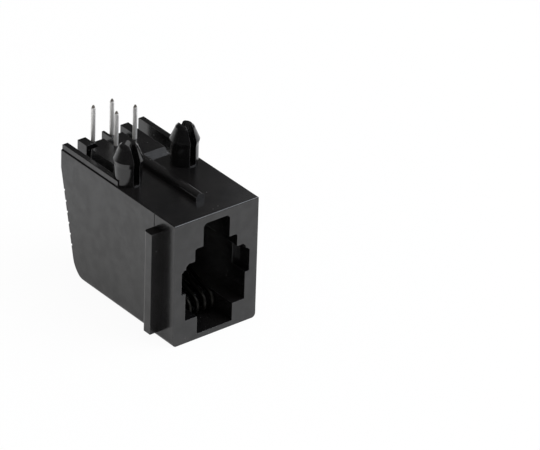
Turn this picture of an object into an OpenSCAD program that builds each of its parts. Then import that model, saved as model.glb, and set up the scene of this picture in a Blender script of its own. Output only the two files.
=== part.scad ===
// Board-mounted modular jack, drawn as it stands on a table with its board side up.
// The plug enters along +Y. Snap pegs, stand-offs and solder tails point along +Z.

/* [Shell] */
// Width across the two side walls
body_w = 11.3; // [11.2:0.1:12.5]
// Depth from the front face to the rear edges of the walls
body_depth = 20.65; // [20.2:0.05:22.5]
// Height of the board side above the rest face
body_h = 15.1; // [14.8:0.1:16]
// Depth of the front bezel
bezel_depth = 4.6; // [4.2:0.1:5.4]
// Step between the rest sides of the bezel and of the shell behind it
bezel_step = 0.25; // [0.1:0.05:0.4]
// Radius of the long edges on the rest side
edge_r = 0.5; // [0.2:0.05:0.8]
// Radius of the long edges on the board side
crown_r = 0.1; // [0.05:0.05:0.4]
// Radius of the bezel's front edge on the board side
nose_r = 0.15; // [0.05:0.05:0.3]

/* [Plug mouth] */
// Thickness of the front wall around the mouth
front_wall = 1.3; // [0.8:0.1:2]
// Depth of the plug cavity from the front face
cavity_depth = 12.1; // [11.5:0.1:12.4]
// Width of the plug cavity and of the mouth's lower tier
plug_w = 8.1; // [7.8:0.1:8.4]
// Height of the ledges that the plug slides on
plug_z = 2.85; // [2.6:0.05:3.1]
// Top of the plug cavity
plug_top = 9.9; // [9.6:0.1:10.2]
// Width of the mouth's widest tier
wide_w = 9.2; // [8.6:0.1:9.6]
// Lower edge of the widest tier
wide_z = 6.25; // [5.8:0.05:6.8]
// Upper edge of the widest tier
wide_top = 9.25; // [8.8:0.05:9.5]
// Width of the tier that passes the root of the latch
latch_root_w = 5.7; // [5.2:0.1:6.2]
// Top of the tier that passes the root of the latch
latch_root_top = 11.45; // [11:0.05:12]
// Width of the slot that passes the tongue of the latch
latch_w = 3.56; // [3:0.02:4.2]
// Thickness of the roof above the latch slot
roof_t = 0.9; // [0.7:0.05:1.2]
// Chamfer of the mouth's corners
mouth_chamfer = 0.35; // [0.1:0.05:0.5]
// Chamfer of the corners below the latch slot
step_chamfer = 0.2; // [0.05:0.05:0.4]
// Width of the notch that shows the contacts
notch_w = 4.8; // [4.4:0.1:5.4]
// Thickness of the floor under the notch
notch_floor = 0.65; // [0.5:0.05:0.9]
// Depth of the notch from the front face
notch_depth = 4.8; // [4.4:0.1:5.4]

/* [Rear] */
// Thickness of each side wall beside the contacts
wall_t = 1.25; // [1:0.05:1.4]
// Thickness of the thinner upper stretch of each side wall
upper_wall_t = 0.8; // [0.6:0.05:1]
// Height of the ledge where the side walls turn thin
ledge_z = 13.2; // [12.6:0.1:13.8]
// Height at which the rear edges start to slant forward
knee_z = 12.9; // [11:0.1:14]
// Slant of the rear edges
rear_slant = 12.8; // [10:0.1:14]
// Radius of the corner between the rear edges and the rest side
rear_r = 2.85; // [2:0.05:3]
// Thickness of the partition behind the plug cavity
partition_t = 0.9; // [0.7:0.1:1.2]
// Thickness of the floor behind the partition
floor_t = 1.85; // [1.6:0.05:2.1]
// Number of grip grooves across each rear edge
groove_count = 6; // [3:1:6]
// Spacing of the grip grooves
groove_pitch = 1.26; // [1:0.02:1.4]
// Height of the lowest grip groove
groove_z = 4; // [3.6:0.1:4.4]
// Width of a grip groove
groove_w = 0.24; // [0.1:0.02:0.3]
// Depth of a grip groove
groove_d = 0.15; // [0.05:0.05:0.3]

/* [Board side] */
// Height of the middle rail, which spaces the jack off its board
standoff = 0.8; // [0.75:0.05:1]
// Width of the middle rail
rail_w = 1.15; // [0.95:0.05:1.4]
// Front end of the middle rail, from the front face
rail_y = 3; // [2:0.1:4]
// Length of the middle rail
rail_len = 11.2; // [8:0.1:11.6]
// Width of each lip along the side walls
lip_w = 0.65; // [0.4:0.05:0.75]
// Height of each lip
lip_h = 0.65; // [0.4:0.05:0.7]
// Length of each lip
lip_len = 10.15; // [9:0.05:10.5]
// Radius of the lip's rear corner
lip_r = 0.15; // [0.1:0.05:0.5]
// Width of the deck between the side walls
deck_w = 6.9; // [6.6:0.1:7.2]
// Height of the deck above the board side in front of it
deck_rise = 0.5; // [0.3:0.05:0.6]
// Length of the slope that leads up to the deck
deck_slope = 1; // [0.4:0.1:2]
// Thickness of the deck
deck_t = 3; // [2.6:0.05:3.4]
// Height cut off the fins between the pockets
fin_drop = 1.35; // [0.8:0.05:1.6]
// Thickness of each fin
fin_t = 0.58; // [0.4:0.02:0.64]
// Width of each slot for a front tail
slot_w = 0.75; // [0.6:0.05:0.8]
// Width of each pocket for a rear tail
pocket_w = 0.9; // [0.8:0.01:1]
// Depth of each pocket from the rear face
pocket_depth = 1.4; // [1.3:0.05:1.6]
// Width of the gap in front of the short block
gap_len = 0.85; // [0.5:0.05:1]
// Length of the short block behind the gap
block_len = 1.7; // [1.5:0.05:1.9]
// Depth of that gap
gap_depth = 2.2; // [1:0.1:2.6]

/* [Side ribs] */
// Reach of each rib beyond the side wall
rib_reach = 1.35; // [0.8:0.05:1.6]
// Thickness of each rib
rib_t = 1.4; // [1:0.1:2]
// Distance from the front face to each rib
rib_y = 2.3; // [1.6:0.1:2.6]
// Lower end of each rib
rib_z = 1; // [0.6:0.1:2]
// Length of each rib
rib_len = 12.45; // [10:0.05:13]
// Radius of each rib's outer edge at the rear
rib_r = 0.4; // [0.05:0.05:0.6]
// Width of the fine mould seam above each rib
seam_w = 0.12; // [0.06:0.02:0.2]
// Depth of that seam
seam_d = 0.06; // [0.02:0.02:0.1]

/* [Snap pegs] */
// Distance between the two pegs
peg_pitch = 7.62; // [7.4:0.02:7.8]
// Distance from the pegs to the rear edges
peg_setback = 9.8; // [9.6:0.05:10]
// Diameter of the shank, for a 3.25 mm hole
peg_d = 3.1; // [2.8:0.02:3.2]
// Diameter of the barb
barb_d = 3.34; // [3.26:0.02:3.6]
// Diameter of the tip, below its bevel
peg_tip_d = 2.1; // [1.6:0.1:2.4]
// Height of the tip above the rail
peg_len = 3.85; // [3.5:0.05:4.4]
// Thickness of the board that the barbs snap under
board_t = 1.6; // [1.4:0.1:1.8]
// Width of the slot that splits each peg
peg_slot_w = 0.8; // [0.5:0.05:1]

/* [Contacts] */
// Diameter of the contact wire
wire_d = 0.48; // [0.4:0.02:0.5]
// Side spacing of the solder tails
tail_pitch = 1.27; // [1.2:0.01:1.3]
// Distance from the pegs back to the front row of tails
row_front = 6.5; // [6.3:0.05:6.7]
// Distance between the two rows of tails
row_gap = 2.54; // [2.4:0.02:2.6]
// Height of the tail tips above the rail
tail_len = 3.85; // [3:0.05:4.5]
// Length of the pointed end of a tail
tail_point = 0.35; // [0.2:0.05:0.6]
// Thickness of the solder coat on the free length of a tail
tail_coat = 0.01; // [0.005:0.005:0.02]
// Side spacing of the contacts in the comb and in the mouth
comb_pitch = 1.02; // [1:0.01:1.06]
// Free room on each side of a wire in the comb
comb_gap = 0.08; // [0.04:0.01:0.1]
// Free room on each side of a wire in the deck, and under it
seat_gap = 0.035; // [0.02:0.005:0.05]
// Thickness of the floor under the wires
wire_floor = 0.68; // [0.5:0.02:0.8]
// Height of the comb's teeth above the floor
tooth_h = 0.35; // [0.1:0.05:0.6]
// Distance by which the comb's teeth stand behind the shell
tooth_proud = 0.4; // [0.2:0.05:0.6]
// Depth of a wire below the slanted rear edges, at the comb
comb_cover = 0.44; // [0.3:0.02:0.6]
// Bend radius where a wire turns from the rear to the floor
wrap_r = 2; // [1.6:0.1:2.2]
// Bend radius of the fold-back behind the mouth
fold_r = 0.95; // [0.7:0.05:1.05]
// Distance from the front face to the centre line of the fold-back
fold_y = 2.45; // [2:0.05:3]
// Slope of the free spring arm
arm_slope = 19; // [15:0.5:20]
// Height range of the side jog in the outer wires
jog_h = 0.7; // [0.5:0.05:1]
// Height of the side jog above the floor of the wires
jog_z = 4.6; // [3.5:0.1:6]
// Rearward throw of the kink that locks each tail in the deck
kink_throw = 0.42; // [0.2:0.02:0.46]

/* [Hidden] */
$fn = 48;

// Length by which a cut runs past the face that it opens
over = 1;
// Length by which a cut runs into the cut or space beside it
lap = 0.25;
// Number of contacts
contact_count = 4;
// Lead of the widest point of the barb past the board
barb_lead = 0.5;
// Height of the taper under the barb
barb_taper = 0.6;
// Bevel around the tip of a peg
peg_bevel = 0.28;
// Depth to which a raised feature is rooted in the shell
root = 0.4;
// Rounding along the top of the middle rail
rail_r = 0.45;
// Height of the floor of a peg's slot above the board side
peg_slot_floor = 0.1;
// Diameter of the blunt end of a tail
tail_point_d = 0.2;
// Distance from the wires' floor to the open part of a comb slot
comb_lip = 0.2;
// Height of the comb entry above the wires' floor
comb_entry = 2;
// Room above the tip of the free arm in the partition
arm_room = 0.7;
// Overlap of the free arm with the partition's slots
arm_catch = 0.5;
// Straight length between the two bends of the fold-back
fold_straight = 0.1;
// Extra radius of a wire in its bends, where the straights end inside it
bend_swell = 0.003;
// Share of a corner's length by which the straights reach into the bend
bend_reach = 0.04;
// Bend radius of the small bends
small_r = 0.5;
// Bend radius below the deck
deck_bend_r = 1.5;
// Height from the top of the deck down to the start of the kink
kink_start = 0.25;
// Height from the top of the deck down to the peak of the kink
kink_peak = 1.05;
// Distance by which a wire leaves the deck before it bends
deck_exit = 0.25;
// Distance from the rear face to a rear wire where it leaves the deck
rear_exit = 1.1;

half_w = body_w / 2;
// Top of the deck
deck_z = body_h + deck_rise;
deck_bottom = deck_z - deck_t;
// Plane of the board when the jack is mounted
seat_z = body_h + standoff;
latch_top = body_h - roof_t;
floor_z = bezel_step + floor_t;
partition_y = cavity_depth;
bay_y = cavity_depth + partition_t;
peg_y = body_depth - peg_setback;
front_row_y = peg_y + row_front;
rear_row_y = front_row_y + row_gap;
barb_z = seat_z + board_t + barb_lead;
peg_tip_z = seat_z + peg_len;
tail_tip_z = seat_z + tail_len;

wire_r = wire_d / 2;
wire_floor_z = bezel_step + wire_floor;
wire_z = wire_floor_z + seat_gap + wire_r;
comb_slot_w = wire_d + 2 * comb_gap;
deck_slot_w = wire_d + 2 * seat_gap;
tooth_z = floor_z + tooth_h;
comb_z = wire_z + comb_entry;
comb_y = rear_y(comb_z) - comb_cover;

// Centre of the round corner between the rear edges and the rest side
corner_z = bezel_step + rear_r;
corner_y = body_depth - (rear_r + (knee_z - corner_z) * sin(rear_slant)) / cos(rear_slant);

// Fold-back and free arm, seen from the side
arm_turn = 90 - arm_slope;
arm_root_z = wire_z + fold_r + fold_straight + fold_r * tan(arm_turn / 2);
arm_tip_y = partition_y + arm_catch;
arm_tip_z = arm_root_z + (arm_tip_y - fold_y) * tan(arm_slope);

// Place of the slanted rear edges at height z
function rear_y(z) = body_depth - max(0, knee_z - z) * tan(rear_slant);

// Side place of a contact at its tail and in the comb, for index 0 to 3
function tail_x(i) = (i - (contact_count - 1) / 2) * tail_pitch;
function comb_x(i) = (i - (contact_count - 1) / 2) * comb_pitch;

// Even contacts have their tail in the rear row, odd ones in the front row
function in_rear_row(i) = i % 2 == 0;
function is_outer(i) = i == 0 || i == contact_count - 1;

function unit(v) = v / norm(v);
function turn_angle(a, b) = acos(max(-1, min(1, a * b)));
// Point at height z on the line from a to b
function at_height(a, b, z) = a + (b - a) * (z - a.z) / (b.z - a.z);

// Part of a wire above the comb, from the tip of the tail down
function tail_route(i) =
    let (row_y = in_rear_row(i) ? rear_row_y : front_row_y)
    let (exit_y = in_rear_row(i) ? body_depth - rear_exit : front_row_y)
    [
        [tail_x(i), row_y, tail_tip_z],
        [tail_x(i), row_y, deck_z - kink_start],
        [tail_x(i), row_y + kink_throw, deck_z - kink_peak],
        [tail_x(i), exit_y, deck_bottom - deck_exit]
    ];

// Place where a wire's rear leg would meet its floor run without a bend
function heel(i) =
    let (top = tail_route(i)[len(tail_route(i)) - 1])
    let (entry = [comb_x(i), comb_y, comb_z])
    [comb_x(i), at_height(top, entry, wire_z).y, wire_z];

// Side jog of an outer wire; an inner wire runs straight to its heel
function jog_route(i) =
    let (top = tail_route(i)[len(tail_route(i)) - 1])
    let (start_z = wire_z + jog_z + jog_h)
    let (end_z = wire_z + jog_z)
    is_outer(i)
        ? [
            [tail_x(i), at_height(top, heel(i), start_z).y, start_z],
            [comb_x(i), at_height(top, heel(i), end_z).y, end_z]
        ]
        : [];

// Part of a wire from its heel forward along the floor and back up the arm
function spring_route(i) = [
    heel(i),
    [comb_x(i), fold_y, wire_z],
    [comb_x(i), fold_y, arm_root_z],
    [comb_x(i), arm_tip_y, arm_tip_z]
];

function route(i) = concat(tail_route(i), jog_route(i), spring_route(i));

// Bend radius at each point of a route; the ends have none
function bend_radii(i) = concat(
    [0, small_r, small_r, deck_bend_r],
    is_outer(i) ? [small_r, small_r] : [],
    [wrap_r, fold_r, fold_r, 0]
);

// Box between the given limits along each axis
module block(x, y, z) {
    translate([x[0], y[0], z[0]])
        cube([x[1] - x[0], y[1] - y[0], z[1] - z[0]]);
}

// Extrudes a front view from depth y0 to depth y1
module along_y(y0, y1) {
    translate([0, y1, 0])
        rotate([90, 0, 0])
            linear_extrude(y1 - y0)
                children();
}

// Extrudes a side view, drawn as depth and height, evenly across the middle
module along_x(w) {
    rotate([90, 0, 90])
        linear_extrude(w, center = true)
            children();
}

// Upright rectangle with its own corner radius at the bottom and at the top
module rounded_rect(w, z0, z1, r0, r1) {
    translate([-w / 2, z0 + r0])
        square([w, z1 - z0 - r0 - r1]);
    translate([-w / 2 + r0, z0])
        square([w - 2 * r0, (z1 - z0) / 2]);
    translate([-w / 2 + r1, (z0 + z1) / 2])
        square([w - 2 * r1, (z1 - z0) / 2]);
    for (side = [-1, 1]) {
        translate([side * (w / 2 - r0), z0 + r0])
            circle(r0);
        translate([side * (w / 2 - r1), z1 - r1])
            circle(r1);
    }
}

// Rectangle of the mouth with chamfered upper corners
module tier(w, z0, z1, chamfer) {
    polygon([
        [-w / 2, z0],
        [w / 2, z0],
        [w / 2, z1 - chamfer],
        [w / 2 - chamfer, z1],
        [chamfer - w / 2, z1],
        [-w / 2, z1 - chamfer]
    ]);
}

// Side view of the shell behind the bezel
module shell_profile() {
    front = bezel_depth / 2;
    polygon([
        [front, bezel_step],
        [corner_y, bezel_step],
        [corner_y + rear_r * cos(rear_slant), corner_z - rear_r * sin(rear_slant)],
        [body_depth, knee_z],
        [body_depth, body_h],
        [front, body_h]
    ]);
    translate([corner_y, corner_z])
        circle(rear_r);
}

module shell() {
    intersection() {
        along_x(body_w + 2 * over)
            shell_profile();
        along_y(0, body_depth + over)
            rounded_rect(body_w, bezel_step, body_h, edge_r, crown_r);
    }
}

// Side view of the bezel, with a round corner at its upper front
module bezel_profile() {
    translate([nose_r, 0])
        square([bezel_depth - nose_r, body_h]);
    square([bezel_depth, body_h - nose_r]);
    translate([nose_r, body_h - nose_r])
        circle(nose_r);
}

module bezel() {
    intersection() {
        along_x(body_w + 2 * over)
            bezel_profile();
        along_y(0, bezel_depth)
            rounded_rect(body_w, 0, body_h, edge_r, crown_r);
    }
}

// Plan view of a rib, rooted in the wall, with a round outer corner at the rear
module rib_plan() {
    translate([-root, 0])
        square([root + rib_reach - rib_r, rib_t]);
    translate([-root, 0])
        square([root + rib_reach, rib_t - rib_r]);
    translate([rib_reach - rib_r, rib_t - rib_r])
        circle(rib_r);
}

module side_ribs() {
    for (side = [-1, 1])
        mirror([side < 0 ? 1 : 0, 0, 0])
            translate([half_w, rib_y, rib_z])
                linear_extrude(rib_len)
                    rib_plan();
}

// Fine seams on the side walls, above the ribs and in line with their rear
module mould_seams() {
    for (side = [-1, 1])
        translate([side * half_w, rib_y + rib_t - seam_w, rib_z + rib_len])
            block([-seam_d, seam_d], [0, seam_w], [0, body_h]);
}

// Middle rail, which meets the board, and the side lips, which end just below it
module standoffs() {
    along_y(rail_y, rail_y + rail_len)
        rounded_rect(rail_w, body_h - root, seat_z, root / 2, rail_r);
    lip_x = half_w - upper_wall_t + lip_w / 2;
    for (side = [-1, 1])
        translate([side * lip_x, 0, 0])
            along_x(lip_w)
                lip_profile();
}

// Side view of a lip, with a round upper corner at the rear
module lip_profile() {
    front = body_depth - lip_len;
    translate([front, body_h - root])
        square([lip_len - lip_r, root + lip_h]);
    translate([front, body_h - root])
        square([lip_len, root + lip_h - lip_r]);
    translate([body_depth - lip_r, body_h + lip_h - lip_r])
        circle(lip_r);
}

// Split peg with a barb, rooted in the shell
module snap_peg() {
    difference() {
        rotate_extrude()
            polygon([
                [0, body_h - root],
                [peg_d / 2, body_h - root],
                [peg_d / 2, barb_z - barb_taper],
                [barb_d / 2, barb_z],
                [peg_tip_d / 2, peg_tip_z - peg_bevel],
                [peg_tip_d / 2 - peg_bevel, peg_tip_z],
                [0, peg_tip_z]
            ]);
        block(
            [-peg_slot_w / 2, peg_slot_w / 2],
            [-barb_d, barb_d],
            [body_h + peg_slot_floor, peg_tip_z + over]
        );
    }
}

module snap_pegs() {
    for (side = [-1, 1])
        translate([side * peg_pitch / 2, peg_y, 0])
            snap_peg();
}

// Deck that carries the tails, with a slope up to it
module deck() {
    along_x(deck_w)
        polygon([
            [bay_y, deck_bottom],
            [body_depth, deck_bottom],
            [body_depth, deck_z],
            [bay_y + deck_slope, deck_z],
            [bay_y, body_h]
        ]);
}

// Side view of the comb's teeth: the shell's own corner, moved to the rear
module tooth_profile() {
    translate([corner_y + tooth_proud, corner_z])
        circle(rear_r);
}

// Teeth that stand out of the shell between the wires
module comb_teeth() {
    tooth_w = comb_pitch - comb_slot_w;
    for (i = [0 : contact_count - 2])
        translate([comb_x(i) + comb_pitch / 2, 0, 0])
            intersection() {
                along_x(tooth_w)
                    tooth_profile();
                block([-over, over], [corner_y, body_depth], [0, tooth_z]);
            }
}

// Stepped mouth for the plug and its latch, and the cavity behind it
module plug_space() {
    along_y(-over, front_wall + over) {
        tier(notch_w, notch_floor, plug_z + over, 0);
        tier(plug_w, plug_z, wide_top, 0);
        tier(wide_w, wide_z, wide_top, mouth_chamfer);
        tier(plug_w, wide_z, plug_top, mouth_chamfer);
        tier(latch_root_w, wide_z, latch_root_top, step_chamfer);
        tier(latch_w, wide_z, latch_top, mouth_chamfer);
    }
    along_y(front_wall, cavity_depth) {
        tier(plug_w, plug_z, plug_top, 0);
        tier(latch_root_w, plug_z, latch_top, mouth_chamfer);
    }
    block([-notch_w / 2, notch_w / 2], [0, notch_depth], [notch_floor, plug_z + over]);
    block([-notch_w / 2, notch_w / 2], [0, cavity_depth], [floor_z, plug_z + over]);
}

// Space between the side walls that is open to the rear
module rear_bay() {
    inner = half_w - wall_t;
    upper_inner = half_w - upper_wall_t;
    block([-inner, inner], [bay_y, body_depth + over], [floor_z, deck_bottom]);
    for (side = [-1, 1])
        mirror([side < 0 ? 1 : 0, 0, 0]) {
            block([deck_w / 2, inner], [bay_y, body_depth + over], [deck_bottom - over, deck_z]);
            block([deck_w / 2, upper_inner], [bay_y, body_depth + over], [ledge_z, seat_z + over]);
        }
}

// Slots and pockets of the deck, repeated for each pair of tails
module deck_cuts() {
    rear = body_depth + over;
    top = deck_z + over;
    low = deck_bottom - over;
    pocket = [body_depth - pocket_depth, rear];
    for (i = [0 : contact_count - 1])
        if (!in_rear_row(i)) {
            fin_x = tail_x(i) - deck_slot_w / 2 - fin_t;
            block(
                [fin_x + fin_t, fin_x + fin_t + slot_w],
                [front_row_y - deck_slot_w / 2, rear],
                [low, top]
            );
            block([fin_x - pocket_w, fin_x], pocket, [low, top]);
            block([fin_x - lap, fin_x + fin_t + lap], pocket, [deck_z - fin_drop, top]);
        }
    block(
        [-deck_w / 2 - lap, tail_x(0) - wire_d],
        [body_depth - block_len - gap_len, body_depth - block_len],
        [deck_z - gap_depth, top]
    );
}

// Channels for the wires, from the notch through the partition to the comb
module wire_channels() {
    for (i = [0 : contact_count - 1])
        translate([comb_x(i), 0, 0])
            along_x(comb_slot_w) {
                translate([notch_depth - over, wire_floor_z])
                    square([comb_y - wrap_r - notch_depth + over, tooth_z]);
                translate([partition_y - over, wire_floor_z])
                    square([partition_t + 2 * over, arm_tip_z + arm_room - wire_floor_z]);
                translate([comb_y - wrap_r, wire_z + wrap_r])
                    circle(wrap_r + wire_r + seat_gap);
                translate([corner_y, wire_floor_z + comb_lip])
                    square([body_depth - corner_y, tooth_z]);
            }
}

// Grip grooves across the slanted rear edges
module grip_grooves() {
    for (k = [0 : groove_count - 1]) {
        z = groove_z + k * groove_pitch;
        translate([0, rear_y(z), z])
            rotate([-rear_slant, 0, 0])
                block([-body_w, body_w], [-groove_d, over], [-groove_w / 2, groove_w / 2]);
    }
}

module housing() {
    color([0.09, 0.09, 0.1])
        translate([0, -body_depth / 2, 0])
            difference() {
                union() {
                    bezel();
                    shell();
                    side_ribs();
                    standoffs();
                    deck();
                    snap_pegs();
                    comb_teeth();
                }
                plug_space();
                rear_bay();
                deck_cuts();
                wire_channels();
                grip_grooves();
                mould_seams();
            }
}

// Places its children in the frame of the three unit vectors, at the given point
module in_frame(at, ex, ey, ez) {
    multmatrix([
        [ex.x, ey.x, ez.x, at.x],
        [ex.y, ey.y, ez.y, at.y],
        [ex.z, ey.z, ez.z, at.z]
    ])
        children();
}

// Straight length of wire from a to b
module straight(a, b) {
    along(a, b)
        cylinder(h = norm(b - a), r = wire_r);
}

// Upright length of wire from a to the pointed tip b, coated above the board's plane
module solder_tail(a, b) {
    h = norm(b - a);
    bare = seat_z - a.z;
    along(a, b)
        rotate_extrude()
            polygon([
                [0, 0],
                [wire_r, 0],
                [wire_r, bare],
                [wire_r + tail_coat, bare],
                [wire_r + tail_coat, h - tail_point],
                [tail_point_d / 2, h],
                [0, h]
            ]);
}

// Places its children at a with their +Z axis pointing at b
module along(a, b) {
    ez = unit(b - a);
    ey = unit(cross(ez, [1, 0, 0]));
    in_frame(a, cross(ey, ez), ey, ez)
        children();
}

// Round bend that starts at a, turning from direction d1 towards d2
module bend(a, d1, d2, radius) {
    inward = unit(d2 - d1 * (d1 * d2));
    in_frame(a + inward * radius, -inward, d1, cross(-inward, d1))
        rotate_extrude(angle = turn_angle(d1, d2))
            translate([radius, 0])
                circle(wire_r + bend_swell);
}

// Wire along a route from its pointed tail, rounded at each inner point by its own radius
module bent_wire(points, radii) {
    last = len(points) - 1;
    dirs = [for (i = [0 : last - 1]) unit(points[i + 1] - points[i])];
    // Length that each corner takes off its straights, less what they reach into the bend
    trims = [
        for (i = [0 : last])
            i == 0 || i == last ? 0 : radii[i] * tan(turn_angle(dirs[i - 1], dirs[i]) / 2)
    ];
    reach = [for (i = [0 : last]) trims[i] * bend_reach];
    solder_tail(points[1] - dirs[0] * (trims[1] - reach[1]), points[0]);
    for (i = [1 : last - 1])
        straight(
            points[i] + dirs[i] * (trims[i] - reach[i]),
            points[i + 1] - dirs[i] * (trims[i + 1] - reach[i + 1])
        );
    for (i = [1 : last - 1])
        bend(points[i] - dirs[i - 1] * trims[i], dirs[i - 1], dirs[i], radii[i]);
}

// One formed contact with a pointed solder tail
module contact(i) {
    color([0.78, 0.75, 0.7])
        translate([0, -body_depth / 2, 0])
            bent_wire(route(i), bend_radii(i));
}

housing();
contact(0);  // contact_1
contact(1);  // contact_2
contact(2);  // contact_3
contact(3);  // contact_4
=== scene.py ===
"""Dresses, lights and frames the board-mounted modular jack on a white table."""

import logging
import math
from collections.abc import Mapping, Sequence
from dataclasses import dataclass, field
from enum import Enum
from typing import Any

import bpy
from mathutils import Matrix, Vector

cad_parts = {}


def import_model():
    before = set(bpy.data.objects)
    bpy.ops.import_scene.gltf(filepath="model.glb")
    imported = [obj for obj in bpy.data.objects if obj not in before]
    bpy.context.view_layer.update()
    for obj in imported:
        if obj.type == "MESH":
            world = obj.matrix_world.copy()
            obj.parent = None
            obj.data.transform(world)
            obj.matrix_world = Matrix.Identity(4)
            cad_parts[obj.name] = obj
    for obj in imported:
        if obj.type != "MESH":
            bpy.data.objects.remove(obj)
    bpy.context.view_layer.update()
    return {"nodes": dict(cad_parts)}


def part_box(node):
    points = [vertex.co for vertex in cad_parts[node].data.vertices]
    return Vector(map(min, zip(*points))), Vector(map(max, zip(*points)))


LOG = logging.getLogger("modular_jack")
MM = 0.001

Colour = tuple[float, float, float]
Point = tuple[float, float, float]
Span = tuple[float, float]


class Ray(Enum):
    """Kinds of ray that the stage tells apart."""

    CAMERA = "Is Camera Ray"
    GLOSSY = "Is Glossy Ray"
    TRANSMISSION = "Is Transmission Ray"


class MathOp(Enum):
    """Operations of the Math node that are used here."""

    ADD = "ADD"
    SUBTRACT = "SUBTRACT"
    MULTIPLY = "MULTIPLY"
    MINIMUM = "MINIMUM"
    LESS = "LESS_THAN"


class VectorOp(Enum):
    """Operations of the Vector Math node that are used here."""

    MULTIPLY = "MULTIPLY"
    DOT = "DOT_PRODUCT"


class MixKind(Enum):
    """What a Mix node blends: its data type, then the places of sockets A, B and Result."""

    COLOUR = ("RGBA", 6, 7, 2)
    VECTOR = ("VECTOR", 4, 5, 1)


class Signal:
    """One output socket of a shader node, which takes part in Python arithmetic."""

    def __init__(self, graph: "ShaderGraph", socket: bpy.types.NodeSocket | None) -> None:
        """Wraps an output of one of the graph's nodes, or None for a node that has no output."""
        self.graph = graph
        self.socket = socket

    def output(self, name: str) -> "Signal":
        """Gives another output of the same node, by its name."""
        return Signal(self.graph, self.socket.node.outputs[name])

    def __add__(self, other: "Value") -> "Signal":
        """Adds a value."""
        return self.graph.math(MathOp.ADD, self, other)

    def __radd__(self, other: "Value") -> "Signal":
        """Adds to a value."""
        return self.graph.math(MathOp.ADD, other, self)

    def __sub__(self, other: "Value") -> "Signal":
        """Takes a value away."""
        return self.graph.math(MathOp.SUBTRACT, self, other)

    def __rsub__(self, other: "Value") -> "Signal":
        """Is taken from a value."""
        return self.graph.math(MathOp.SUBTRACT, other, self)

    def __mul__(self, other: "Value") -> "Signal":
        """Multiplies by a value."""
        return self.graph.math(MathOp.MULTIPLY, self, other)

    def __rmul__(self, other: "Value") -> "Signal":
        """Multiplies a value."""
        return self.graph.math(MathOp.MULTIPLY, other, self)

    def __lt__(self, other: "Value") -> "Signal":
        """Is 1 where this value is smaller, else 0."""
        return self.graph.math(MathOp.LESS, self, other)

    def at_most(self, other: "Value") -> "Signal":
        """Gives the smaller of two values."""
        return self.graph.math(MathOp.MINIMUM, self, other)

    def step(self, low: float, high: float) -> "Signal":
        """Rises smoothly from 0 at low to 1 at high."""
        inputs = {"Value": self, "From Min": low, "From Max": high}
        return self.graph.add("ShaderNodeMapRange", {"interpolation_type": "SMOOTHSTEP"}, inputs)


Value = Signal | float | int


@dataclass(frozen=True)
class Mottle:
    """Size of one noise.

    Attributes:
        scale: Waves per unit of the coordinates.
        octaves: Layers of finer and finer waves.
    """

    scale: float
    octaves: float


class ShaderGraph:
    """A node tree that grows by Python expressions."""

    def __init__(self, tree: bpy.types.NodeTree) -> None:
        """Empties the tree of a material or world and takes it over."""
        self.tree = tree
        tree.nodes.clear()

    def add(
        self,
        kind: str,
        settings: Mapping[str, Any] | None = None,
        inputs: Mapping[str | int, Any] | None = None,
        output: str | int = 0,
    ) -> Signal:
        """Adds one node.

        Args:
            kind: Blender's name of the node type.
            settings: Properties of the node, which are set first.
            inputs: Values or signals for its sockets, by name or index.
            output: Name or index of the output to return.

        Returns:
            The chosen output.
        """
        node = self.tree.nodes.new(kind)
        for key, value in (settings or {}).items():
            setattr(node, key, value)
        for key, value in (inputs or {}).items():
            socket = node.inputs[key]
            if isinstance(value, Signal):
                self.tree.links.new(value.socket, socket)
            else:
                socket.default_value = self._fit(socket, value)
        return Signal(self, node.outputs[output] if node.outputs else None)

    @staticmethod
    def _fit(socket: bpy.types.NodeSocket, value: Any) -> Any:
        """Gives a colour its alpha where the socket wants one.

        Args:
            socket: Input socket.
            value: Number, vector or colour.

        Returns:
            The value in the socket's form.
        """
        if socket.type == "RGBA":
            return (*value, 1.0)
        return value

    def math(self, op: MathOp, a: Value, b: Value) -> Signal:
        """Works out a number from two numbers."""
        return self.add("ShaderNodeMath", {"operation": op.value}, {0: a, 1: b})

    def vector(self, op: VectorOp, a: Signal, b: Signal | Point) -> Signal:
        """Works out a vector from two vectors, or the number of their dot product."""
        output = "Value" if op is VectorOp.DOT else "Vector"
        return self.add("ShaderNodeVectorMath", {"operation": op.value}, {0: a, 1: b}, output)

    def blend(
        self,
        factor: Value,
        a: Signal | Colour,
        b: Signal | Colour,
        kind: MixKind = MixKind.COLOUR,
    ) -> Signal:
        """Goes from a to b, colours or vectors, as the factor goes from 0 to 1."""
        data_type, first, second, result = kind.value
        return self.add("ShaderNodeMix", {"data_type": data_type}, {0: factor, first: a, second: b}, result)

    def noise(self, place: Signal, mottle: Mottle) -> Signal:
        """Gives a noise of values about 0.5."""
        inputs = {"Vector": place, "Scale": mottle.scale, "Detail": mottle.octaves}
        return self.add("ShaderNodeTexNoise", inputs=inputs)

    def ray(self, *kinds: Ray) -> Signal:
        """Tells kinds of ray apart.

        Args:
            kinds: Kinds of ray to look for.

        Returns:
            The number of those kinds that the ray is of.
        """
        path = self.add("ShaderNodeLightPath")
        total = path.output(kinds[0].value)
        for kind in kinds[1:]:
            total = total + path.output(kind.value)
        return total

    def seen(self) -> Signal:
        """Is 1 for what the camera sees, straight or through something clear, else 0."""
        return self.ray(Ray.CAMERA, Ray.TRANSMISSION).at_most(1.0)

    def millimetres(self) -> Signal:
        """Gives the place on the piece in the part's own frame, in millimetres."""
        place = self.add("ShaderNodeTexCoord", output="Object")
        return self.vector(VectorOp.MULTIPLY, place, (1 / MM, 1 / MM, 1 / MM))

    def finish(self, kind: str, surface: Signal) -> None:
        """Connects a shader to an output node of the given type."""
        self.add(kind, inputs={"Surface": surface})


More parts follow.
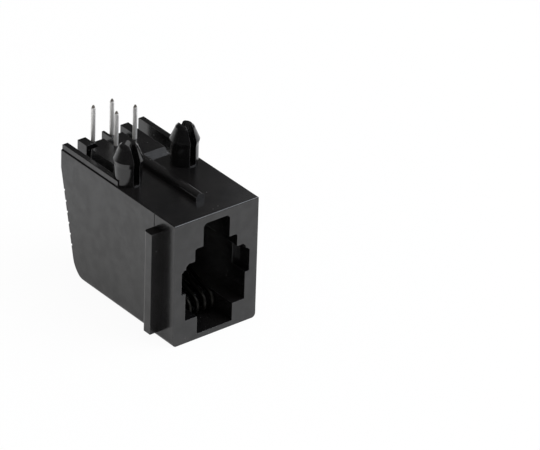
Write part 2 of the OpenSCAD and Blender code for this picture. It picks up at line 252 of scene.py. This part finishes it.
def new_material(name: str) -> tuple[bpy.types.Material, ShaderGraph]:
    """Makes an empty node material.

    Args:
        name: Name of the material.

    Returns:
        The material and its graph.
    """
    material = bpy.data.materials.new(name)
    material.use_nodes = True
    return material, ShaderGraph(material.node_tree)


def wear(piece: bpy.types.Object, material: bpy.types.Material) -> None:
    """Gives a piece one material all over.

    Args:
        piece: Piece to dress.
        material: Its new material.
    """
    slots = piece.data.materials
    slots.clear()
    slots.append(material)


@dataclass(frozen=True)
class MouldedPlastic:
    """Black satin-gloss moulded plastic: hazy, soft at the edges, with a paler tone painted inside as
    painted light that lifts the shade there, and lighter edges that are partly rubbed and partly a painted
    highlight.

    Lengths are in millimetres.

    Attributes:
        tone: Colour of the plastic.
        pale_tone: Colour where the flow of the melt left it paler.
        painted_light_tone: Paler colour painted on the faces inside the mouth and bay as painted light.
        rubbed_and_highlight_tone: Lighter colour of outer edges, partly wear from handling and partly a
            painted edge highlight.
        speck_tone: Colour of specks.
        ior: Index of refraction.
        gloss_rough: Roughness of the gloss.
        rough_range: Roughness that flow and grain add at most.
        dull_rough: Roughness that the rubbed, highlighted edges and the specks add.
        haze: Weight of the haze where it is thickest.
        haze_rough: Roughness of the haze.
        flow: Noise of the flow.
        cloud: Noise of the haze.
        peel: Noise of the slight waviness.
        grain: Noise of the fine grain.
        mottle_span: Noise values at which flow and haze begin and are full.
        peel_height: Height of the waviness.
        grain_height: Height of the grain.
        edge_r: Radius of outer edges.
        edge_samples: Rays that feel for an edge.
        edge_probe: How far those rays feel for an outer edge, in edge radii.
        outer_span: Openness at which an edge begins to be an outer one and fully is.
        rubbed_and_highlight_span: Turn of the normal at which the rubbed wear and painted edge highlight
            begin and are full.
        rubbed_and_highlight_least: Share of that edge mark that the grain leaves everywhere.
        painted_light_half_w: Half the width of the space inside that gets the painted light.
        painted_light_depth: Depths behind the front face between which faces get the painted light.
        painted_light_fade: Length over which the painted light sets in behind the mouth.
        painted_light_end_fade: Length over which it ends at the rear.
        painted_light_z: Heights between which faces get the painted light.
        painted_light_z_fade: Length over which the painted light sets in at those heights.
        speck_scale: Cells per millimetre that may hold a speck.
        speck_r: Radius of a speck, in cells.
        speck_middle: Share of that radius that has the full tone.
        speck_share: Share of cells that hold a speck.
    """

    tone: Colour = (0.0036, 0.0035, 0.0038)
    pale_tone: Colour = (0.0068, 0.0063, 0.0063)
    # Painted light: paler tone for the faces inside the mouth and bay.
    painted_light_tone: Colour = (0.030, 0.030, 0.029)
    # Partly wear from handling, partly a painted edge highlight.
    rubbed_and_highlight_tone: Colour = (0.055, 0.053, 0.053)
    speck_tone: Colour = (0.055, 0.054, 0.052)
    ior: float = 1.55
    gloss_rough: float = 0.17
    rough_range: float = 0.14
    dull_rough: float = 0.12
    haze: float = 0.20
    haze_rough: float = 0.22
    flow: Mottle = Mottle(0.22, 3.0)
    cloud: Mottle = Mottle(0.8, 4.0)
    peel: Mottle = Mottle(1.7, 1.0)
    grain: Mottle = Mottle(11.0, 3.0)
    mottle_span: Span = (0.3, 0.7)
    peel_height: float = 0.0016
    grain_height: float = 0.00035
    edge_r: float = 0.07
    edge_samples: int = 6
    edge_probe: float = 3.0
    outer_span: Span = (0.05, 0.3)
    rubbed_and_highlight_span: Span = (0.01, 0.25)
    rubbed_and_highlight_least: float = 0.25
    painted_light_half_w: float = 5.0
    painted_light_depth: Span = (1.325, 16.825)
    painted_light_fade: float = 4.5
    painted_light_end_fade: float = 1.0
    painted_light_z: Span = (0.9, 14.4)
    painted_light_z_fade: float = 0.1
    speck_scale: float = 1.25
    speck_r: float = 0.12
    speck_middle: float = 0.3
    speck_share: float = 0.14

    def material(self, front: float) -> bpy.types.Material:
        """Builds the material.

        Args:
            front: Place of the front face along y, in millimetres.

        Returns:
            The finished material.
        """
        material, graph = new_material("black_moulded_plastic")
        place = graph.millimetres()
        flow = graph.noise(place, self.flow).step(*self.mottle_span)
        cloud = graph.noise(place, self.cloud).step(*self.mottle_span)
        grain = graph.noise(place, self.grain)
        peel = graph.noise(place, self.peel)
        flat = graph.add("ShaderNodeNewGeometry", output="Normal")
        soft = self._soft_normal(graph, flat)
        rubbed_and_highlight = self._rubbed_and_highlight(graph, flat, soft, grain)
        # Painted light: a paler tone inside the mouth and bay lifts their shade; specks and haze are left
        # out there.
        painted_light = self._painted_light(graph, place, front)
        beyond_painted_light = 1.0 - painted_light
        specks = self._specks(graph, place) * beyond_painted_light
        tone = graph.blend(flow, self.tone, self.pale_tone)
        # Painted light inside the mouth and bay.
        tone = graph.blend(painted_light, tone, self.painted_light_tone)
        # Rubbed wear and a painted edge highlight lighten the outer edges.
        tone = graph.blend(rubbed_and_highlight, tone, self.rubbed_and_highlight_tone)
        tone = graph.blend(specks, tone, self.speck_tone)
        rough = self.gloss_rough + flow * self.rough_range * grain
        rough = rough + (rubbed_and_highlight + specks) * self.dull_rough
        height = peel * self.peel_height + grain * self.grain_height
        normal = graph.add("ShaderNodeBump", inputs={"Distance": MM, "Height": height, "Normal": soft})
        surface = graph.add(
            "ShaderNodeBsdfPrincipled",
            inputs={
                "Base Color": tone,
                "Roughness": rough,
                "Normal": normal,
                "IOR": self.ior,
                "Coat Weight": cloud * self.haze * beyond_painted_light,
                "Coat Roughness": self.haze_rough,
            },
        )
        graph.finish("ShaderNodeOutputMaterial", surface)
        return material

    def _soft_normal(self, graph: ShaderGraph, flat: Signal) -> Signal:
        """Rounds the outer edges and leaves the inner corners sharp.

        Args:
            graph: Graph of the material.
            flat: Normal of the surface.

        Returns:
            The normal, rounded over the outer edges.
        """
        rounded = graph.add(
            "ShaderNodeBevel",
            settings={"samples": self.edge_samples},
            inputs={"Radius": self.edge_r * MM},
        )
        inside = graph.add(
            "ShaderNodeAmbientOcclusion",
            settings={"samples": self.edge_samples, "inside": True, "only_local": True},
            inputs={"Distance": self.edge_probe * self.edge_r * MM},
            output="AO",
        )
        outer = (1.0 - inside).step(*self.outer_span)
        return graph.blend(outer, flat, rounded, MixKind.VECTOR)

    def _rubbed_and_highlight(self, graph: ShaderGraph, flat: Signal, soft: Signal, grain: Signal) -> Signal:
        """Marks the outer edges that get a lighter tone, partly wear from handling and partly a painted
        highlight.

        Args:
            graph: Graph of the material.
            flat: Normal of the surface.
            soft: Normal rounded over the edges.
            grain: Fine noise that breaks the mark up.

        Returns:
            Share of rubbed and painted-highlight surface, 0 to 1.
        """
        turn = 1.0 - graph.vector(VectorOp.DOT, soft, flat)
        patchy = self.rubbed_and_highlight_least + (1.0 - self.rubbed_and_highlight_least) * grain
        return turn.step(*self.rubbed_and_highlight_span) * patchy

    def _painted_light(self, graph: ShaderGraph, place: Signal, front: float) -> Signal:
        """Marks the faces inside the mouth and the bay, which get a paler tone painted as light that lifts
        their shade.

        Args:
            graph: Graph of the material.
            place: Coordinates in millimetres.
            front: Place of the front face along y, in millimetres.

        Returns:
            Share of cored surface, 0 to 1.
        """
        x = graph.add("ShaderNodeSeparateXYZ", inputs={"Vector": place}, output="X")
        y, z = x.output("Y"), x.output("Z")
        start, end = (front + depth for depth in self.painted_light_depth)
        low, high = self.painted_light_z
        across = (x * x) < self.painted_light_half_w**2
        along = y.step(start, start + self.painted_light_fade) * (1.0 - y.step(end, end + self.painted_light_end_fade))
        upward = z.step(low - self.painted_light_z_fade, low) * (1.0 - z.step(high, high + self.painted_light_z_fade))
        return across * along * upward

    def _specks(self, graph: ShaderGraph, place: Signal) -> Signal:
        """Scatters a few fine specks.

        Args:
            graph: Graph of the material.
            place: Coordinates in millimetres.

        Returns:
            Share of speck, 0 to 1.
        """
        cell = graph.add(
            "ShaderNodeTexVoronoi",
            inputs={"Vector": place, "Scale": self.speck_scale},
            output="Distance",
        )
        chance = graph.add("ShaderNodeSeparateColor", inputs={"Color": cell.output("Color")})
        near = 1.0 - cell.step(self.speck_middle * self.speck_r, self.speck_r)
        return near * (chance < self.speck_share)


@dataclass(frozen=True)
class PlatedWire:
    """Drawn spring wire: bright and warm at the rear, painted dark in the mouth as painted shade, tinned on
    the tails, darker at their tips.

    Lengths are in millimetres.

    Attributes:
        spring_tone: Colour of the bright spring.
        stained_tone: Colour of its stains.
        mouth_shade_tone: Dark colour painted on the wire in the mouth as painted shade.
        tin_tone: Colour of the tin.
        dull_tin_tone: Colour of dull streaks in the tin.
        dark_tip_tone: Darker colour towards the tips of the tails.
        mouth_shade_y: Place along y behind which the painted shade starts to thin.
        mouth_shade_fade: Length over which it is gone.
        tin_z: Height at which the tin starts.
        tin_fade: Length over which it covers the wire.
        tin_metal: Share of metal in the tin's look.
        dark_tip_len: Length of the darker tips.
        dark_tip_fade: Length over which their colour sets in.
        spring_rough: Roughness of the spring.
        mouth_shade_rough: Roughness of the wire in the mouth, where the shade is painted.
        tin_rough: Roughness of the tin.
        rough_range: Roughness that streaks add where the wire is stained.
        rough_least: Stain that is counted there on top, so that clean wire has streaks too.
        streak: Noise of the drawn streaks.
        streak_stretch: How many times the coordinates are stretched for the streaks.
        streak_height: Height of the streaks.
        stain: Noise of the stains.
        stain_span: Noise values at which a stain begins and is full.
        stain_share: Share of stain where it is full.
        dull_span: Noise values at which a dull streak begins and is full.
    """

    spring_tone: Colour = (0.92, 0.86, 0.80)
    stained_tone: Colour = (0.66, 0.56, 0.46)
    # Painted shade: dark tone on the wire inside the mouth.
    mouth_shade_tone: Colour = (0.024, 0.023, 0.021)
    tin_tone: Colour = (0.86, 0.85, 0.83)
    dull_tin_tone: Colour = (0.70, 0.69, 0.67)
    # Darker towards the tips of the tails.
    dark_tip_tone: Colour = (0.20, 0.18, 0.16)
    mouth_shade_y: float = -1.5
    mouth_shade_fade: float = 3.0
    tin_z: float = 15.3
    tin_fade: float = 0.5
    tin_metal: float = 0.55
    dark_tip_len: float = 0.3
    dark_tip_fade: float = 0.12
    spring_rough: float = 0.07
    mouth_shade_rough: float = 0.42
    tin_rough: float = 0.42
    rough_range: float = 0.10
    rough_least: float = 0.4
    streak: Mottle = Mottle(1.0, 2.0)
    streak_stretch: Point = (30.0, 2.2, 2.2)
    streak_height: float = 0.0006
    stain: Mottle = Mottle(0.9, 3.0)
    stain_span: Span = (0.45, 0.75)
    stain_share: float = 0.45
    dull_span: Span = (0.3, 0.8)

    def material(self, top: float) -> bpy.types.Material:
        """Builds the material.

        Args:
            top: Height of the tips of the tails, in millimetres.

        Returns:
            The finished material.
        """
        material, graph = new_material("plated_contact_wire")
        place = graph.millimetres()
        height = graph.add("ShaderNodeSeparateXYZ", inputs={"Vector": place}, output="Z")
        drawn = graph.vector(VectorOp.MULTIPLY, place, self.streak_stretch)
        streak = graph.noise(drawn, self.streak)
        stain = graph.noise(place, self.stain).step(*self.stain_span)
        tinned = (height + streak * self.tin_fade).step(self.tin_z, self.tin_z + self.tin_fade)
        # Painted shade: the wire goes dark towards the front, inside the mouth.
        mouth_shaded = 1.0 - height.output("Y").step(self.mouth_shade_y, self.mouth_shade_y + self.mouth_shade_fade)
        # Darker towards the tips of the tails.
        dark_tip = height.step(top - self.dark_tip_len, top - self.dark_tip_len + self.dark_tip_fade)
        spring = graph.blend(stain * self.stain_share, self.spring_tone, self.stained_tone)
        spring = graph.blend(mouth_shaded, spring, self.mouth_shade_tone)
        tin = graph.blend(streak.step(*self.dull_span), self.tin_tone, self.dull_tin_tone)
        tin = graph.blend(dark_tip, tin, self.dark_tip_tone)
        rough = self.spring_rough + tinned * (self.tin_rough - self.spring_rough)
        rough = rough + mouth_shaded * (self.mouth_shade_rough - self.spring_rough)
        rough = rough + streak * self.rough_range * (self.rough_least + stain)
        ridges = streak * self.streak_height
        surface = graph.add(
            "ShaderNodeBsdfPrincipled",
            inputs={
                "Base Color": graph.blend(tinned, spring, tin),
                "Roughness": rough,
                "Normal": graph.add("ShaderNodeBump", inputs={"Distance": MM, "Height": ridges}),
                "Metallic": 1.0 - tinned * (1.0 - self.tin_metal),
            },
        )
        graph.finish("ShaderNodeOutputMaterial", surface)
        return material


@dataclass(frozen=True)
class WhiteTable:
    """Plain white table top that keeps a faint shadow under the part.

    Attributes:
        paint: Colour that the lamps light.
        glow: Colour that shows whatever the light.
        seen_share: Share of glow where the camera sees the table.
        mirrored_share: Share of glow where the part mirrors it.
    """

    paint: Colour = (0.9, 0.9, 0.9)
    glow: Colour = (1.0, 1.0, 1.0)
    seen_share: float = 0.95
    mirrored_share: float = 0.45

    def material(self) -> bpy.types.Material:
        """Builds the material.

        Returns:
            The finished material.
        """
        material, graph = new_material("white_table")
        lit = graph.add("ShaderNodeBsdfDiffuse", inputs={"Color": self.paint})
        plain = graph.add("ShaderNodeEmission", inputs={"Color": self.glow})
        seen = graph.seen()
        mirrored = graph.ray(Ray.GLOSSY) * (1.0 - seen)
        share = seen * self.seen_share + mirrored * self.mirrored_share
        surface = graph.add("ShaderNodeMixShader", inputs={0: share, 1: lit, 2: plain})
        graph.finish("ShaderNodeOutputMaterial", surface)
        return material


@dataclass
class Housing:
    """The one-piece black moulding with its mouth, ribs, pegs and comb.

    Attributes:
        node: Name of its CAD node.
        finish: Its plastic.
    """

    node: str = "housing"
    finish: MouldedPlastic = field(default_factory=MouldedPlastic)

    def dress(self, nodes: Mapping[str, bpy.types.Object]) -> list[str]:
        """Gives the moulding its finish.

        Args:
            nodes: CAD nodes by name.

        Returns:
            Names of the dressed pieces.
        """
        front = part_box(self.node)[0].y
        wear(nodes[self.node], self.finish.material(front / MM))
        return [self.node]


@dataclass
class ContactSet:
    """The four formed spring wires with their solder tails.

    Attributes:
        nodes: Names of their CAD nodes.
        finish: Their plating.
    """

    nodes: tuple[str, ...] = ("contact_1", "contact_2", "contact_3", "contact_4")
    finish: PlatedWire = field(default_factory=PlatedWire)

    def dress(self, nodes: Mapping[str, bpy.types.Object]) -> list[str]:
        """Gives the wires their finish.

        Args:
            nodes: CAD nodes by name.

        Returns:
            Names of the dressed pieces.
        """
        top = max(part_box(name)[1].z for name in self.nodes)
        material = self.finish.material(top / MM)
        for name in self.nodes:
            wear(nodes[name], material)
        return list(self.nodes)


@dataclass
class Table:
    """Floor of the stage, with its lengths in metres.

    Attributes:
        half_size: Half the length of its sides.
        drop: How far it lies below the part.
        finish: Its paint.
    """

    half_size: float = 1.5
    drop: float = 0.00001
    finish: WhiteTable = field(default_factory=WhiteTable)

    def build(self) -> bpy.types.Object:
        """Makes the floor.

        Returns:
            The floor object.
        """
        half, level = self.half_size, -self.drop
        corners = [(-half, -half, level), (half, -half, level), (half, half, level), (-half, half, level)]
        mesh = bpy.data.meshes.new("table_top")
        mesh.from_pydata(corners, [], [(0, 1, 2, 3)])
        floor = bpy.data.objects.new("table_top", mesh)
        bpy.context.scene.collection.objects.link(floor)
        wear(floor, self.finish.material())
        return floor


@dataclass(frozen=True)
class Softbox:
    """One square soft lamp, with its lengths in metres.

    Attributes:
        name: Name of the lamp.
        place: Where it hangs.
        size: Length of its sides.
        watts: Its power.
        tint: Colour of its light.
    """

    name: str
    place: Point
    size: float
    watts: float
    tint: Colour

    def build(self, aim: Point) -> bpy.types.Object:
        """Hangs the lamp.

        Args:
            aim: Point that it faces.

        Returns:
            The lamp object.
        """
        light = bpy.data.lights.new(self.name, "AREA")
        light.shape = "SQUARE"
        light.size = self.size
        light.energy = self.watts
        light.color = self.tint
        lamp = bpy.data.objects.new(self.name, light)
        lamp.location = self.place
        way = Vector(aim) - Vector(self.place)
        lamp.rotation_euler = way.to_track_quat("-Z", "Y").to_euler()
        lamp.visible_camera = False
        bpy.context.scene.collection.objects.link(lamp)
        return lamp


@dataclass
class Studio:
    """Soft lamps and the dim grey room above the table.

    Attributes:
        aim: Point that the lamps face, in metres.
        sky: Colour of the room's light.
        fill: Strength of the room as soft light.
        front_wall: Strength of the front of the room in reflections.
        back_wall: Strength of the back of the room in reflections.
        back_way: Direction of the back of the room.
        back_span: Cosines of the angle from that direction at which the back begins and is full.
        horizon: Rise of the white band above the horizon, which carries the table on in reflections.
        lamps: The lamps.
    """

    aim: Point = (0.0, 0.0, 0.008)
    sky: Colour = (1.0, 1.0, 1.0)
    fill: float = 0.45
    front_wall: float = 0.04
    back_wall: float = 0.07
    back_way: Point = (0.63, 0.77, 0.0)
    back_span: Span = (-0.3, 0.6)
    horizon: float = 0.04
    lamps: tuple[Softbox, ...] = (
        Softbox("overhead_softbox", (0.05, -0.10, 0.75), 0.40, 1.5, (1.0, 0.97, 0.94)),
        Softbox("right_softbox", (0.45, -0.36, 0.60), 0.60, 4.5, (0.93, 0.97, 1.04)),
        Softbox("rear_card", (0.072, 0.042, 0.052), 0.044, 0.0016, (0.97, 0.97, 1.0)),
    )

    def build(self) -> list[bpy.types.Object]:
        """Lights the scene by the room and hangs the lamps in it."""
        self._room()
        return [lamp.build(self.aim) for lamp in self.lamps]

    def _room(self) -> None:
        """Makes the world: white to the camera, dim in reflections, soft as fill."""
        world = bpy.data.worlds.new("grey_room")
        world.use_nodes = True
        bpy.context.scene.world = world
        graph = ShaderGraph(world.node_tree)
        way = graph.add("ShaderNodeTexCoord", output="Generated")
        rise = graph.add("ShaderNodeSeparateXYZ", inputs={"Vector": way}, output="Z")
        band = 1.0 - rise.step(0.0, self.horizon)
        behind = graph.vector(VectorOp.DOT, way, self.back_way).step(*self.back_span)
        wall = self.front_wall + (self.back_wall - self.front_wall) * behind
        mirrored = wall + (1.0 - wall) * band
        level = self.fill + graph.ray(Ray.GLOSSY) * (mirrored - self.fill)
        seen = graph.seen()
        strength = seen + (1.0 - seen) * level
        surface = graph.add("ShaderNodeBackground", inputs={"Color": self.sky, "Strength": strength})
        graph.finish("ShaderNodeOutputWorld", surface)


@dataclass(frozen=True)
class TableCamera:
    """Long-lens camera at the viewing angle of the picture.

    Attributes:
        target: Point in the middle of the frame, in metres.
        distance: Distance from that point, in metres.
        azimuth: Turn to the right of the front, in degrees.
        elevation: Angle above the horizon, in degrees.
        roll: Turn about the line of sight, in degrees.
        lens: Focal length, in millimetres.
        sensor: Width of the sensor, in millimetres.
        clip: Nearest and furthest distance that shows, in metres.
    """

    target: Point = (0.010579, -0.006315, 0.008)
    distance: float = 0.494
    azimuth: float = -39.093
    elevation: float = 30.265
    roll: float = 1.932
    lens: float = 300.53
    sensor: float = 36.0
    clip: Span = (0.01, 10.0)

    def build(self) -> bpy.types.Object:
        """Places the camera and makes it the scene's own.

        Returns:
            The camera object.
        """
        optics = bpy.data.cameras.new("table_camera")
        optics.lens = self.lens
        optics.sensor_width = self.sensor
        optics.sensor_fit = "HORIZONTAL"
        optics.clip_start, optics.clip_end = self.clip
        camera = bpy.data.objects.new("table_camera", optics)
        camera.matrix_world = self._matrix()
        bpy.context.scene.collection.objects.link(camera)
        bpy.context.scene.camera = camera
        return camera

    def _matrix(self) -> Matrix:
        """Works out the camera's place and turn.

        Returns:
            World matrix of the camera.
        """
        around, above, roll = (math.radians(turn) for turn in (self.azimuth, self.elevation, self.roll))
        flat = math.cos(above)
        back = Vector((math.sin(around) * flat, -math.cos(around) * flat, math.sin(above)))
        level = Vector((0.0, 0.0, 1.0)).cross(back).normalized()
        upright = back.cross(level)
        right = level * math.cos(roll) + upright * math.sin(roll)
        up = back.cross(right)
        turned = Matrix((right, up, back)).transposed().to_4x4()
        return Matrix.Translation(Vector(self.target) + back * self.distance) @ turned


def main() -> None:
    """Loads the frame, dresses the part and sets up the stage."""
    logging.basicConfig(level=logging.INFO, format="%(name)s %(message)s")
    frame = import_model()
    bpy.context.scene.view_settings.view_transform = "Standard"
    camera = TableCamera().build()
    LOG.info("placed %s", camera.name)
    for assembly in (Housing(), ContactSet()):
        for name in assembly.dress(frame["nodes"]):
            LOG.info("dressed %s in %s", name, type(assembly.finish).__name__)
    for item in (Table().build(), *Studio().build()):
        LOG.info("placed %s", item.name)


if __name__ == "__main__":
    main()
